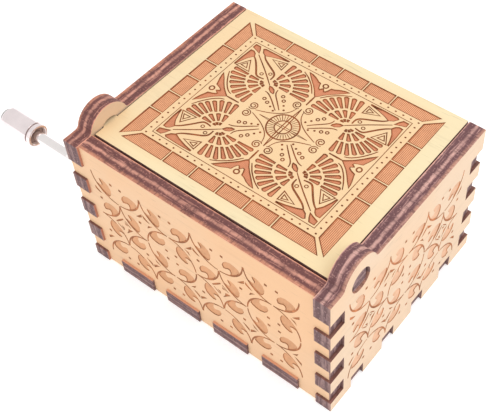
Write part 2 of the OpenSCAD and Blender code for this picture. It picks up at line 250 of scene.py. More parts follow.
def veneer(name, colour, along, toasted=None, smoked=None, toast=None):
    """Birch face veneer: straight fine grain, short dark pores, soft clouds.

    toasted is an axis, and the distances along it where the cut's heat starts to brown and is full.
    smoked is half the length and width of the area that smoke has tinted, its middle's y, and the
    height that it starts at.
    """
    f = Finish(name, roughness=0.62)
    grain = f.streaks(running(along, 42.0, 1500.0), 4.0)
    figure = f.streaks(running(along, 30.0, 520.0), 3.0, (3.1, 1.7, 0.4))
    cloud = f.noise(95.0, 2.0)
    tone = f.ramp(
        grain * 0.34 + figure * 0.3 + cloud * 0.36,
        [(0.32, shade(colour, 0.84)), (0.46, shade(colour, 0.98)), (0.6, colour), (0.7, shade(colour, 1.06))],
    )
    patch = f.streaks((38.0, 38.0, 38.0), 2.0, (0.7, 2.9, 5.3))
    tone = f.blend(patch.band(0.42, 0.66) * 0.6, tone, shade(colour, (1.03, 0.93, 0.82)))
    pore = f.streaks(running(along, 190.0, 2100.0), 1.0).band(0.66, 0.74)
    tone = f.blend(pore * 0.45, tone, shade(colour, 0.68))
    if smoked:
        half_x, half_y, middle, top = smoked
        fade_in, fade_out = 1.5 * MM, 2.5 * MM
        beside = abs(f.axis(0)).band(half_x - fade_in, half_x + fade_out)
        beyond = abs(f.axis(1) - middle).band(half_y - fade_in, half_y + fade_out)
        inside = (1.0 - beside) * (1.0 - beyond) * (f.axis(2) > top)
        tone = f.blend(inside * (cloud.band(0.3, 0.7) * 0.4 + 0.75), tone, shade(colour, (0.985, 0.82, 0.73)))
        tan = (0.0 - f.axis(0) + (cloud - 0.5) * 0.012).band(16 * MM, 34 * MM)
        tone = f.blend(tan * 0.8, tone, shade(colour, (0.985, 0.84, 0.78)))
    if toasted:
        axis, start, full = toasted
        heat = (abs(f.axis(axis)) + (grain - 0.5) * 0.0009).band(start, full)
        tone = f.blend(heat, tone, tuple(toast or colours().toast))
    f.wire("Base Color", tone)
    f.bump(grain + pore * -0.6, 0.16, 0.00004)
    return f.material


def cut_edge(name, across, outside, inside, kind="top", plum=False):
    """Laser-cut plywood edge: plies from the outside face to the inside one, scorched, with beam marks.

    The kinds are top, end for a finger's darker end, and notch for a finger's upper face. Top and end are one
    scorched edge in a lit and a shaded copy: top, on the faces that look up, is painted light, and end, on
    the faces that look sideways or down, is darker and purpler as painted shade.
    """
    f = Finish(name, roughness=0.68)
    c = colours()
    dark, light, pale = tuple(c.ply_dark), tuple(c.ply_light), tuple(c.ply_pale)
    fibres, specks = 0.85, 0.6
    if kind == "top":
        fibres, specks = 0.42, 0.3
        # Painted light: the faces that look up take the plies lighter than the end kind does.
        warmth = (1.14, 1.26, 1.34) if plum else (1.17, 1.06, 0.96)
        dark, light, pale = (shade(tone, warmth) for tone in (dark, light, pale))
    # Painted shade: the faces that look sideways or down take the plies darker and purpler.
    if kind == "end":
        pale = shade(light, (0.56, 0.64, 0.7))
        dark, light = shade(dark, (0.86, 1.06, 1.14)), shade(light, (0.5, 0.58, 0.68))
    if kind == "notch":
        dark, light, pale = (shade(tuple(c.notch), k) for k in (0.86, 1.0, 1.12))
    warp = f.noise(650.0, 2.0)
    drift = f.noise(90.0, 1.0)
    straight = (f.axis(across) - outside) / (inside - outside)
    plies = f.ramp(
        straight + (warp - 0.5) * 0.16 + (drift - 0.5) * 0.16,
        [
            (0.0, pale),
            (0.12, shade(pale, 0.8)),
            (0.22, dark),
            (0.36, shade(dark, 0.92)),
            (0.46, light),
            (0.54, shade(light, 0.92)),
            (0.62, shade(dark, 0.86)),
            (0.92, dark),
            (0.98, light),
        ],
    )
    beam = f.streaks(running(across, 140.0, 2200.0), 2.0)
    fibre = f.streaks(running(across, 3000.0, 190.0), 3.0)
    soot = f.noise(260.0, 4.0)
    speck = f.noise(2400.0, 2.0)
    tone = f.blend(soot.band(0.4, 0.68) * 0.55, plies, shade(dark, 0.86))
    tone = f.blend(beam.band(0.5, 0.7) * 0.55, tone, shade(dark, 0.56))
    tone = f.blend(fibre.band(0.55, 0.69) * fibres, tone, shade(light, 1.35))
    tone = f.blend(speck.band(0.56, 0.7) * specks, tone, shade(light, 1.4))
    if kind == "top":
        bare = straight.band(0.955, 0.985) * (drift.band(0.3, 0.6) * 0.8)
        tone = f.blend(bare, tone, shade(pale, 1.5))
    f.wire("Base Color", tone)
    f.bump(beam + fibre * 0.8 + speck * 0.3, 0.4, 0.00008)
    return f.material


def engraved_area(name, colour, hatching):
    """Floor of an engraved area: raster marks of the beam over a toasted veneer."""
    f = Finish(name, roughness=0.8)
    mottle = f.noise(900.0, 3.0)
    drift = f.noise(130.0, 1.0)
    hatch = f.add(
        "ShaderNodeTexWave",
        {"wave_type": "BANDS", "bands_direction": "X"},
        {"Vector": f.place, "Scale": 915.0, "Distortion": 0.08, "Detail": 1.0},
        "Fac",
    )
    stops = [(0.3, shade(colour, 0.84)), (0.52, colour), (0.75, shade(colour, 1.12))]
    tone = f.ramp(mottle * 0.6 + drift * 0.4, stops)
    tone = f.blend(hatch.band(0.42, 0.72) * hatching, tone, shade(colour, (0.42, 0.27, 0.24)))
    f.wire("Base Color", tone)
    f.bump(hatch * 0.5 + mottle, 0.3, 0.00006)
    return f.material


def burnt_line(name, colour):
    """Scorched floor of an engraved line."""
    f = Finish(name, roughness=0.85)
    patch = f.noise(420.0, 3.0)
    fine = f.noise(2600.0, 2.0)
    stops = [(0.3, shade(colour, 0.6)), (0.5, colour), (0.72, shade(colour, 1.7))]
    f.wire("Base Color", f.ramp(patch * 0.7 + fine * 0.3, stops))
    f.bump(fine, 0.3, 0.00005)
    return f.material


def metal(name, colour, roughness, scale, variation, relief, stretch=(1, 1, 1), metallic=1.0, grime=0.0):
    """A metal with fine working marks, stretched along the way it was turned or brushed."""
    f = Finish(name, metallic=metallic, roughness=roughness)
    mark = f.streaks(tuple(s * scale for s in stretch), 3.0)
    cloud = f.noise(190.0, 2.0)
    stops = [(0.3, shade(colour, 1 - variation)), (0.7, shade(colour, 1 + variation * 0.6))]
    tone = f.ramp(mark * 0.5 + cloud * 0.5, stops)
    if grime:
        tone = f.blend(cloud.band(0.5, 0.78) * grime, tone, shade(colour, 0.35))
    f.wire("Base Color", tone)
    f.wire("Roughness", mark * 0.18 + (roughness - 0.09))
    f.bump(mark, relief, 0.00004)
    return f.material


# ---------------------------------------------------------------- modelling helpers


def deselect():
    if bpy.context.mode != "OBJECT":
        bpy.ops.object.mode_set(mode="OBJECT")
    bpy.ops.object.select_all(action="DESELECT")


def pick(obj):
    deselect()
    obj.select_set(True)
    bpy.context.view_layer.objects.active = obj


def edit(obj):
    pick(obj)
    bpy.ops.object.mode_set(mode="EDIT")
    bpy.ops.mesh.select_all(action="SELECT")


def done():
    bpy.ops.object.mode_set(mode="OBJECT")


def apply_modifier(obj, kind, name, **values):
    """Adds a modifier with these settings and applies it."""
    pick(obj)
    modifier = obj.modifiers.new(name, kind)
    for key, value in values.items():
        setattr(modifier, key, value)
    bpy.ops.object.modifier_apply(modifier=name)


def clean_copy(node, name, flat=False):
    """A CAD node's mesh with its loose triangles merged into clean faces."""
    piece = bpy.data.objects.new(name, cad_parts[node].data.copy())
    bpy.context.scene.collection.objects.link(piece)
    piece.data.materials.clear()
    edit(piece)
    bpy.ops.mesh.customdata_custom_splitnormals_clear()
    bpy.ops.mesh.remove_doubles(threshold=MERGE)
    bpy.ops.mesh.dissolve_limited(angle_limit=SAME_PLANE)
    if flat:
        bpy.ops.mesh.faces_shade_flat()
    done()
    return piece


def metal_copy(node, name, finish, body, rounding, segments=2):
    """A CAD metal piece with its edges rounded, replacing the node."""
    piece = clean_copy(node, name)
    apply_modifier(
        piece, "BEVEL", "edge", width=rounding, segments=segments, limit_method="ANGLE",
        angle_limit=math.radians(50), use_clamp_overlap=True, harden_normals=False,
    )
    pick(piece)
    bpy.ops.object.shade_smooth_by_angle(angle=math.radians(38))
    piece.data.materials.append(finish)
    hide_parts(node)
    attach(piece, body)


# ---------------------------------------------------------------- drawing in millimetres


def softened(points, steps=4):
    """A smooth line through the points."""

    def between(a, b, c, d, t):
        bend, twist = 2 * a - 5 * b + 4 * c - d, 3 * b - a - 3 * c + d
        return 0.5 * (2 * b + (c - a) * t + bend * t * t + twist * t ** 3)

    padded = points[:1] + points + points[-1:]
    out = []
    for corners in zip(padded, padded[1:], padded[2:], padded[3:]):
        out += [tuple(between(*near, k / steps) for near in zip(*corners)) for k in range(steps)]
    return out + points[-1:]


def stroke(points, width, thin=0.7):
    """The outline of a line of that width, thinner towards its ends."""
    left, right = [], []
    last = len(points) - 1
    for i, (x, y) in enumerate(points):
        ax, ay = points[max(0, i - 1)]
        bx, by = points[min(last, i + 1)]
        length = math.hypot(bx - ax, by - ay) or 1.0
        nx, ny = -(by - ay) / length, (bx - ax) / length
        t = i / last
        full = thin + (1 - thin) * min(1, min(t, 1 - t) * 4)
        left.append((x + nx * width / 2 * full, y + ny * width / 2 * full))
        right.append((x - nx * width / 2 * full, y - ny * width / 2 * full))
    return left + right[::-1]


def ellipse(cx, cy, rx, ry, steps):
    angles = [math.tau * k / steps for k in range(steps)]
    return [(cx + rx * math.cos(a), cy + ry * math.sin(a)) for a in angles]


def ring(cx, cy, rx, ry, width, steps):
    half = width / 2
    return [ellipse(cx, cy, rx + half, ry + half, steps), ellipse(cx, cy, rx - half, ry - half, steps)]


def grown(loop, by):
    """The closed outline moved outwards by that much, or inwards when negative."""
    after = loop[1:] + loop[:1]
    area = sum(x0 * y1 - x1 * y0 for (x0, y0), (x1, y1) in zip(loop, after))
    sign = 1.0 if area > 0 else -1.0
    out = []
    for (ax, ay), (x, y), (bx, by_) in zip(loop[-1:] + loop[:-1], loop, after):
        l1, l2 = math.hypot(x - ax, y - ay) or 1.0, math.hypot(bx - x, by_ - y) or 1.0
        n1 = ((y - ay) / l1 * sign, -(x - ax) / l1 * sign)
        n2 = ((by_ - y) / l2 * sign, -(bx - x) / l2 * sign)
        mx, my = n1[0] + n2[0], n1[1] + n2[1]
        length = math.hypot(mx, my) or 1.0
        mx, my = mx / length, my / length
        reach = by / max(BLUNTED, mx * n1[0] + my * n1[1])
        out.append((x + mx * reach, y + my * reach))
    return out


def four_ways(shapes):
    """The shapes in all four quarters."""
    out = []
    for sx, sy in ((1, 1), (1, -1), (-1, 1), (-1, -1)):
        out += [[[(x * sx, y * sy) for x, y in loop] for loop in shape] for shape in shapes]
    return out


def swollen(shapes, by):
    """Every outline of the shapes moved outwards by that much."""
    return [[grown(loop, by) for loop in shape] for shape in shapes]


# ---------------------------------------------------------------- engraving


def flat_cutter(loops, bottom, place, finishes, index):
    """A prism for each outline, drawn flat in millimetres and put on its face."""
    drawing = bpy.data.curves.new("engraving_cutter", "CURVE")
    drawing.dimensions = "2D"
    drawing.fill_mode = "BOTH"
    drawing.extrude = (ABOVE_FACE - bottom) / 2
    for loop in loops:
        line = drawing.splines.new("POLY")
        line.points.add(len(loop) - 1)
        for point, (x, y) in zip(line.points, loop):
            point.co = (x, y, 0, 1)
        line.use_cyclic_u = True
    cutter = bpy.data.objects.new("engraving_cutter", drawing)
    bpy.context.scene.collection.objects.link(cutter)
    pick(cutter)
    bpy.ops.object.convert(target="MESH")
    cutter = bpy.context.object
    edit(cutter)
    bpy.ops.mesh.remove_doubles(threshold=MERGE / MM)
    bpy.ops.mesh.normals_make_consistent(inside=False)
    done()
    cutter.data.transform(place @ Matrix.Translation((0, 0, (ABOVE_FACE + bottom) / 2)))
    cutter.data.materials.clear()
    for finish in finishes:
        cutter.data.materials.append(finish)
    for face in cutter.data.polygons:
        face.material_index = index
    return cutter


def crosses(first, second):
    """Whether two closed outlines cross."""
    for (ax, ay), (bx, by) in zip(first, first[1:] + first[:1]):
        for (cx, cy), (dx, dy) in zip(second, second[1:] + second[:1]):
            if max(ax, bx) < min(cx, dx) or max(cx, dx) < min(ax, bx):
                continue
            if max(ay, by) < min(cy, dy) or max(cy, dy) < min(ay, by):
                continue
            one = (bx - ax) * (cy - ay) - (by - ay) * (cx - ax)
            two = (bx - ax) * (dy - ay) - (by - ay) * (dx - ax)
            three = (dx - cx) * (ay - cy) - (dy - cy) * (ax - cx)
            four = (dx - cx) * (by - cy) - (dy - cy) * (bx - cx)
            if one * two <= 0 and three * four <= 0:
                return True
    return False


def extent(shape):
    """The lowest x and y and the highest x and y of a shape."""
    xs = [x for loop in shape for x, y in loop]
    ys = [y for loop in shape for x, y in loop]
    return min(xs), min(ys), max(xs), max(ys)


def sorted_apart(shapes):
    """The shapes in as few sets as it takes for the shapes of a set not to touch each other."""
    sets = []
    for shape in shapes:
        box = extent(shape)
        for members in sets:
            if not any(
                box[0] < b[2] and b[0] < box[2] and box[1] < b[3] and b[1] < box[3]
                and any(crosses(mine, theirs) for mine in shape for theirs in other)
                for b, other in members
            ):
                members.append((box, shape))
                break
        else:
            sets.append([(box, shape)])
    return [[loop for _, shape in members for loop in shape] for members in sets]


def engrave(piece, shapes, depth, place, index):
    """Cuts the shapes, each a list of outlines, into the piece's face to that depth, in metres."""
    for k, loops in enumerate(sorted_apart(shapes)):
        bottom = -depth * (1 + 0.03 * k) / MM  # each set a little deeper, so that no two floors coincide
        cutter = flat_cutter(loops, bottom, place, list(piece.data.materials), index)
        before = len(piece.data.polygons)
        cut = {"operation": "DIFFERENCE", "solver": "MANIFOLD", "object": cutter}
        apply_modifier(piece, "BOOLEAN", "engraving", **cut)
        bpy.data.objects.remove(cutter)
        if len(piece.data.polygons) <= before:
            raise RuntimeError(f"set {k} of the engraving of {piece.name} didn't cut")


def face_place(origin, right, up):
    """The way from flat drawing millimetres to a face of the box."""
    r, u = Vector(right), Vector(up)
    n = r.cross(u)
    m = Matrix((r, u, n)).transposed().to_4x4() * MM
    m[3][3] = 1.0
    return Matrix.Translation(Vector(origin)) @ m


def assign_faces(piece, thin_axis, finishes, fingers=False, outward=0):
    """Veneer on the broad faces and cut edge on the others.

    A wall's fingers have a red-brown upper face and darker ends; the darker ends and the other faces that
    look sideways or down carry painted shade. With outward given, the broad face on the other side takes the
    inner veneer.
    """
    for finish in finishes:
        piece.data.materials.append(finish)
    for face in piece.data.polygons:
        if abs(face.normal[thin_axis]) > BROAD:
            face.material_index = INNER if face.normal[thin_axis] * outward < 0 else VENEER
        elif not fingers:
            face.material_index = EDGE
        elif face.normal[2] > UPWARD:
            face.material_index = NOTCH if face.center[2] < FINGER_TOP else EDGE
        else:
            # Faces that look sideways or down: the end kind, with its painted shade.
            face.material_index = ENDS


# ---------------------------------------------------------------- lid ornament


def wedge(radii, turn, inner, outer, half_in, half_out):
    """One blade of a fan; the angles and radii are those of the stretched circle."""
    shoulder = outer * 0.975
    points = []
    for r, half in (
        (inner, -half_in), (shoulder, -half_out), (outer, -half_out * 0.4),
        (outer, half_out * 0.4), (shoulder, half_out), (inner, half_in),
    ):
        a = math.radians(turn + half)
        points.append((radii[0] * r * math.cos(a), radii[1] * r * math.sin(a)))
    return points


def fan(apex, radii, sx, sy):
    """Blades in three rows over a quarter turn, opening towards the signs given."""
    blades = []
    for k in range(8):
        blades.append((1.7 + 11.7 * k, 0.58 + 0.02 * (k % 2), 1.0 - 0.03 * (k in (2, 3, 4)), 2.1, 3.1))
    blades += [(5.5 + 25 * k, 0.25, 0.5, 3.6, 6.0) for k in range(4)]
    blades += [(12.0 + 33 * k, 0.1, 0.175, 6.0, 9.0) for k in range(3)]
    return [[(apex[0] + sx * x, apex[1] + sy * y) for x, y in wedge(radii, *blade)] for blade in blades]


def lid_areas():
    """The lid's engraved areas inside the border, in millimetres from the ornament's centre."""
    quarter = [
        [(19.15, 15.25), (18.0, 15.25), (17.45, 14.45), (17.0, 13.5), (17.95, 13.9), (19.15, 14.3)],
        [
            (10.4, 15.1), (12.3, 14.75), (14.2, 14.2), (15.45, 13.65), (16.35, 14.15), (16.95, 15.05),
            (16.6, 15.3), (13.0, 15.35), (10.4, 15.3),
        ],
        [
            (19.0, 8.2), (18.75, 9.3), (18.1, 11.0), (17.2, 12.25), (17.65, 13.0), (18.25, 13.4),
            (19.0, 13.35), (19.2, 10.5), (19.2, 8.2),
        ],
        [(9.15, 7.3), (8.5, 7.3), (7.75, 6.95), (7.3, 6.3), (7.25, 6.0), (7.95, 6.05), (8.75, 6.6)],
    ]
    quarter += fan((9.45, 7.95), (8.55, 6.95), -1, 1) + fan((10.1, 7.5), (8.2, 6.9), 1, -1)
    long_crown = [
        (0.0, 10.3), (0.45, 10.75), (1.15, 11.7), (2.0, 12.55), (3.2, 13.6), (4.3, 14.6), (5.0, 15.25),
        (4.1, 15.15), (3.0, 14.75), (1.95, 14.15), (1.35, 14.0), (1.15, 13.3), (0.85, 12.65), (0.5, 12.5),
        (0.25, 12.85), (0.0, 13.15),
    ]
    short_crown = [
        (14.3, 0.0), (15.2, 0.65), (16.2, 1.45), (17.15, 2.45), (18.1, 3.6), (19.15, 4.75), (19.0, 4.0),
        (18.7, 3.0), (18.25, 1.85), (18.1, 1.4), (17.1, 1.05), (16.55, 0.75), (16.4, 0.4), (16.8, 0.2),
        (17.05, 0.0),
    ]
    wide = long_crown + [(-x, y) for x, y in long_crown[-2:0:-1]]
    tall = short_crown + [(x, -y) for x, y in short_crown[-2:0:-1]]
    out = four_ways([[loop] for loop in quarter])
    return out + [[wide], [[(x, -y) for x, y in wide]], [tall], [[(-x, y) for x, y in tall]]]


def lid_bricks():
    """The border of long bricks, mitred at the corners."""
    low, high, left, right = 17.4, 20.2, 21.6, 24.65  # the border's inner and outer edges
    across, along = 6.55, 5.55  # the length of a brick and its gap on the long and the short sides
    gap = 0.24  # half the gap between two bricks
    out = []
    for start, end in ((gap, across - gap), (across + gap, 13.1 - gap)):
        out.append([(start, low), (end, low), (end, high), (start, high)])
    out.append([(13.1 + gap, low), (20.9, low), (23.55, high), (13.1 + gap, high)])
    for start, end in ((gap, along - gap), (along + gap, 11.15 - gap)):
        out.append([(left, start), (right, start), (right, end), (left, end)])
    out.append([(left, 11.15 + gap), (right, 11.15 + gap), (right, 19.75), (left, 16.95)])
    return four_ways([[loop] for loop in out])


def spiral(cx, cy, radius, start, hand):
    """A curl of one and three quarter turns that closes towards its middle."""
    turns, closing = 1.75, 0.78
    steps = 38
    out = []
    for k in range(steps + 1):
        r, a = radius * (1 - closing * k / steps), start + math.tau * turns * k / steps
        out.append((cx + hand * r * math.cos(a), cy + r * math.sin(a)))
    return out


def lid_lines(width):
    """The engraved lines of the lid."""
    bold = width * 1.55
    curves = [  # width, and the points that the line passes
        (bold, [
            (15.5, 13.6), (14.7, 12.85), (13.3, 12.05), (12.0, 11.4), (11.05, 10.9), (10.4, 10.3),
            (10.2, 9.6), (10.2, 8.75),
        ]),
        (bold, [
            (17.25, 12.2), (16.3, 11.5), (15.25, 10.4), (14.3, 9.25), (13.6, 8.4), (13.1, 8.05), (12.4, 8.0),
            (11.4, 8.15),
        ]),
        (width, [(7.05, 7.4), (6.95, 6.7), (6.5, 5.95), (5.6, 5.1), (4.5, 4.1), (3.45, 3.1)]),
        (width, [(9.0, 5.65), (8.3, 5.55), (7.45, 5.15), (6.2, 4.3), (5.0, 3.35), (4.0, 2.6)]),
        (width, [(6.0, 14.75), (4.7, 14.1), (3.5, 13.25), (2.4, 12.3), (1.55, 11.3), (1.0, 10.6)]),
        (width, [(18.5, 5.8), (17.85, 4.6), (16.95, 3.25), (15.95, 2.1), (14.95, 1.3), (14.05, 0.95)]),
        (width * 0.8, [(7.3, 0.45), (6.3, 0.8), (4.3, 1.6), (2.45, 2.8), (1.35, 4.1), (0.8, 5.75)]),
    ]
    shapes = [[stroke(softened(points), thickness)] for thickness, points in curves]
    shapes.insert(2, [stroke([(9.3, 7.45), (11.0, 8.85), (13.0, 10.4), (15.0, 11.85), (16.8, 13.15)], width)])
    shapes.append([stroke(spiral(1.4, 6.45, 1.02, -2.5, 1), width * 0.95)])
    shapes.append([stroke(spiral(8.3, 1.2, 1.02, -2.2, -1), width * 0.95)])
    for cx, cy in ((11.2, 10.05), (12.7, 9.05)):
        shapes.append(ring(cx, cy, 0.36, 0.34, width * 0.8, 14))
    for arm in (
        [(5.1, 6.55), (4.25, 5.65), (3.45, 4.6), (2.7, 3.65)],
        [(7.8, 3.95), (6.7, 3.45), (5.5, 2.9), (4.35, 2.3)],
    ):
        shapes += [ring(cx, cy, 0.33, 0.33, width * 0.95, 14) for cx, cy in arm[:2]]
        shapes += [[ellipse(cx, cy, 0.25, 0.25, 12)] for cx, cy in arm[2:]]
    for triangle in (
        [(10.15, 12.3), (13.5, 13.7), (10.2, 14.55)], [(10.65, 12.95), (11.95, 13.6), (10.7, 14.05)],
        [(15.25, 8.0), (18.65, 8.1), (17.05, 10.85)], [(16.3, 8.6), (17.85, 8.7), (17.1, 9.9)],
    ):
        shapes.append([grown(triangle, width * 0.45), grown(triangle, -width * 0.45)])
    shapes = four_ways(shapes)
    box = [(-19.65, -15.8), (19.65, -15.8), (19.65, 15.8), (-19.65, 15.8)]
    shapes.append([grown(box, width * 0.3), grown(box, -width * 0.3)])
    for sign in (1, -1):
        shapes.append(ring(0.0, sign * 13.95, 0.55, 0.52, width * 1.2, 20))
        shapes.append(ring(sign * 18.2, 0.0, 0.52, 0.55, width * 1.2, 20))
        shapes += [[ellipse((k - 11.5) * 1.79, sign * 16.6, 0.24, 0.2, 8)] for k in range(24)]
        shapes += [[ellipse(sign * 20.62, (k - 10.5) * 1.59, 0.24, 0.2, 8)] for k in range(1, 21)]
        shapes.append([stroke([(0.0, sign * y) for y in (7.4, 9.0, 10.25)], bold)])
        shapes.append([stroke([(sign * x, 0.0) for x in (11.2, 13.0, 14.2)], bold)])
    shapes += [ring(0, 0, 3.33, 3.33, width * 1.25, 48), ring(0, 0, 1.7, 1.7, width, 32)]
    spokes = 32
    for k in range(spokes):
        a = math.tau * (k + 0.5) / spokes
        spoke = [(r * math.cos(a), r * math.sin(a)) for r in (1.84, 2.5, 3.17)]
        shapes.append([stroke(spoke, width * (0.66 if k % 2 else 0.5))])
    for side in (1, -1):
        swell = [(t, side * math.cos(t * math.pi / 2)) for t in (-0.97, -0.7, -0.4, 0, 0.4, 0.7, 0.97)]
        shapes.append([stroke([(0.36 * y, 6.2 * t) for t, y in swell], width * 0.95)])
        shapes.append([stroke([(6.05 * t, 0.24 * y) for t, y in swell], width * 0.6)])
    return shapes


# ---------------------------------------------------------------- wall ornament

# Half the width and height of a vine's circle, and the leaf in its upper left quarter, in millimetres.
CIRCLE = (6.35, 6.75)
LEAF = [
    (-3.0, 5.5), (-3.7, 5.0), (-4.5, 4.3), (-5.15, 3.3), (-5.4, 2.6), (-5.0, 2.15), (-4.2, 1.8),
    (-3.2, 1.7), (-2.2, 2.05), (-1.5, 2.8), (-1.15, 3.7), (-1.4, 4.45), (-1.95, 4.3), (-2.5, 3.95),
    (-3.0, 4.0), (-3.2, 4.6),
]
WALL_PITCH = {4: 12.85, 3: 12.65}  # between the columns of circles, on a wall of 4 and of 3
# Marks left and right of the point where four circles meet: the side, the corner mark, and the mark
# under it where that side's middle circle is whole.
BESIDE = (
    (
        -1, [(-0.12, 2.05), (-1.9, 0.15), (-0.95, 0.45), (-0.12, 1.1)],
        [(-0.8, -1.7), (-2.3, -0.25), (-1.2, -0.6)],
    ),
    (1, [(0.12, 2.05), (1.9, 0.35), (1.0, 0.5), (0.12, 1.1)], [(0.8, -1.7), (2.4, -0.1), (1.2, -0.6)]),
)
# Marks in the diamond between four circles: solid corners, then lines with their thickness.
DIAMOND_CORNERS = (
    [(2.3, 0.05), (0.15, -2.25), (0.75, -1.05), (0.95, -0.1)],
    [(-1.1, -0.4), (-0.3, -0.65), (-0.35, -1.75)],
    [(0.2, 1.5), (0.35, 0.7), (1.2, 0.8)],
)
DIAMOND_LINES = (
    ([(-2.3, 0.05), (-1.1, 1.25), (0.0, 2.35)], 1.3),
    ([(0.4, 2.05), (1.05, 1.4), (1.8, 0.65)], 0.8),
    ([(-2.0, -0.35), (-1.3, -1.0), (-0.6, -1.7)], 0.8),
)


def turned(points, quarters):
    """The points turned anticlockwise by that many quarters."""
    for _ in range(quarters):
        points = [(-y, x) for x, y in points]
    return points


def quarter_arc(cx, cy, quarter, width):
    """A quarter of the vine; quarter 0 is the upper left, and they go on to the left side down."""
    rx, ry = CIRCLE
    angles = [math.radians(92 + 90 * quarter + 86 * k / 14) for k in range(15)]
    return stroke([(cx + rx * math.cos(a), cy + ry * math.sin(a)) for a in angles], width, 0.8)


def wall_ornament(columns, middle, width):
    """Vines, leaves and small marks for a wall with that many columns.

    In the middle row only every second column has a whole circle, the others have a diamond.
    """
    vines, leaves, marks = [], [], []
    rx, ry = CIRCLE
    pitch, lift = WALL_PITCH[columns], 2 * ry
    half = pitch / 2
    xs = [(i - (columns - 1) / 2) * pitch for i in range(columns)]

    def part(cx, cy, quarter):
        vines.append([quarter_arc(cx, cy, quarter, width)])
        leaves.append([[(cx + x, cy + y * ry / rx) for x, y in turned(LEAF, quarter)]])

    def mark(cx, cy, points, up=1):
        marks.append([[(cx + x, cy + up * y) for x, y in points]])

    def dot(cx, cy, size=0.72):
        h = size / 2
        mark(cx, cy, [(-h, -h * 0.8), (h * 0.8, -h), (h, h * 0.8), (-h * 0.8, h)])

    for i, x in enumerate(xs):
        for quarter, row in ((1, 1), (2, 1), (0, -1), (3, -1)):
            part(x, middle + row * lift, quarter)
        for side in (-1.25, 1.25):
            dot(x + side, middle + lift - 1.3)
            dot(x + side, middle - lift + 1.3)
        if i % 2:
            for quarter in range(4):
                part(x, middle, quarter)
            for dx in (-1.25, 1.25):
                for dy in (-1.3, 1.3):
                    dot(x + dx, middle + dy)
        else:
            for quarter, (dx, dy) in ((2, (-half, ry)), (1, (half, ry)), (0, (half, -ry)), (3, (-half, -ry))):
                part(x + dx, middle + dy, quarter)
            for corner in DIAMOND_CORNERS:
                mark(x, middle, corner)
            for line, bold in DIAMOND_LINES:
                marks.append([stroke([(x + u, middle + v) for u, v in line], width * bold)])
    for i in range(columns + 1):
        x = xs[0] - half + i * pitch
        for up in (1, -1):
            y = middle + up * ry
            for side, corner, under in BESIDE:
                column = i - 1 if side < 0 else i
                if 0 <= column < columns:
                    mark(x, y, corner, up)
                    if column % 2:
                        mark(x, y, under, up)
                    else:
                        dot(x + side * 1.15, y - up * 1.35, 0.75)
    return vines, leaves, marks


# ---------------------------------------------------------------- operators


def sizes():
    return bpy.context.scene.music_box_sizes


def colours():
    return bpy.context.scene.music_box_colours


def engraving_finishes(name, colour, line):
    """The finishes of the burnt lines and of the floors of the engraved areas."""
    return burnt_line(name + "_line", tuple(line)), engraved_area(name, tuple(colour), 0.2)


def wall_edges(node, across, outside, inside, plum=False):
    """The finishes of a wall's top edge, finger tops and finger ends; the finger ends carry painted shade."""
    kinds = ("top", "notch", "end")
    return [cut_edge(node + "_" + kind, across, outside, inside, kind, plum) for kind in kinds]


def engrave_wall(piece, origin, right, columns, middle):
    """Engraves a wall's outside, drawn from the origin with right as its level direction."""
    s = sizes()
    place = face_place(origin, right, (0, 0, 1))
    vines, leaves, marks = wall_ornament(columns, middle, s.line_width / MM * 1.4)
    engrave(piece, vines, s.line_depth, place, LINE)
    engrave(piece, marks, s.line_depth * 1.05, place, LINE)
    rim = s.outline / MM / 2
    engrave(piece, swollen(leaves, rim * 0.3), s.line_depth * 1.1, place, LINE)
    engrave(piece, swollen(leaves, -rim * 0.55), s.area_depth, place, AREA)


class MUSICBOX_OT_lid(bpy.types.Operator):
    """Lid panel with its square pegs, brick border and fan ornament"""

    bl_idname = "musicbox.lid"
    bl_label = "Engraved lid"

    def execute(self, context):
        s, c = sizes(), colours()
        low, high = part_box("lid")
        lid = clean_copy("lid", "lid_panel", flat=True)
        smoked = (23.5 * MM, 19.5 * MM, s.ornament_y, high.z - 1 * MM)
        assign_faces(
            lid, 2,
            [
                veneer("lid_veneer", tuple(c.lid_veneer), 0, smoked=smoked),
                # The lid's cut faces take the end kind, with its painted shade.
                cut_edge("lid_cut_edge", 2, high.z, low.z, "end"),
                *engraving_finishes("engraved_fan", c.fan, c.burnt),
                engraved_area("engraved_brick", tuple(c.brick), 0.9),
            ],
        )
        place = face_place((s.ornament_x, s.ornament_y, high.z), (1, 0, 0), (0, 1, 0))
        rim = s.outline / MM / 2
        areas, bricks = lid_areas(), lid_bricks()
        engrave(lid, swollen(areas + bricks, rim), s.line_depth, place, LINE)
        engrave(lid, lid_lines(s.line_width / MM), s.line_depth * 1.1, place, LINE)
        engrave(lid, swollen(areas, -rim * 0.9), s.area_depth, place, AREA)
        engrave(lid, swollen(bricks, -rim * 0.9), s.area_depth, place, BRICK)
        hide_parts("lid")
        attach(lid, "lid")
        return {"FINISHED"}


class MUSICBOX_OT_long_walls(bpy.types.Operator):
    """Hinge wall and opening wall, engraved outside"""

    bl_idname = "musicbox.long_walls"
    bl_label = "Long walls"

    def execute(self, context):
        c = colours()
        face = veneer("long_wall_veneer", tuple(c.long_veneer), 0, (2, 36.5 * MM, 37.2 * MM))
        engraving = engraving_finishes("long_wall_leaf", c.long_leaf, c.burnt_wall)
        for node, side in (("hinge_wall", -1), ("opening_wall", 1)):
            low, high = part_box(node)
            wall = clean_copy(node, node + "_panel", flat=True)
            outside, inside = (low.y, high.y) if side < 0 else (high.y, low.y)
            edges = wall_edges(node, 1, outside, inside)
            assign_faces(wall, 1, [face, edges[0], *engraving, *edges[1:]], fingers=True)
            engrave_wall(wall, (side * 0.8 * MM, outside, 0), (-side, 0, 0), 4, 18.3)
            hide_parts(node)
            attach(wall, "box")
        return {"FINISHED"}


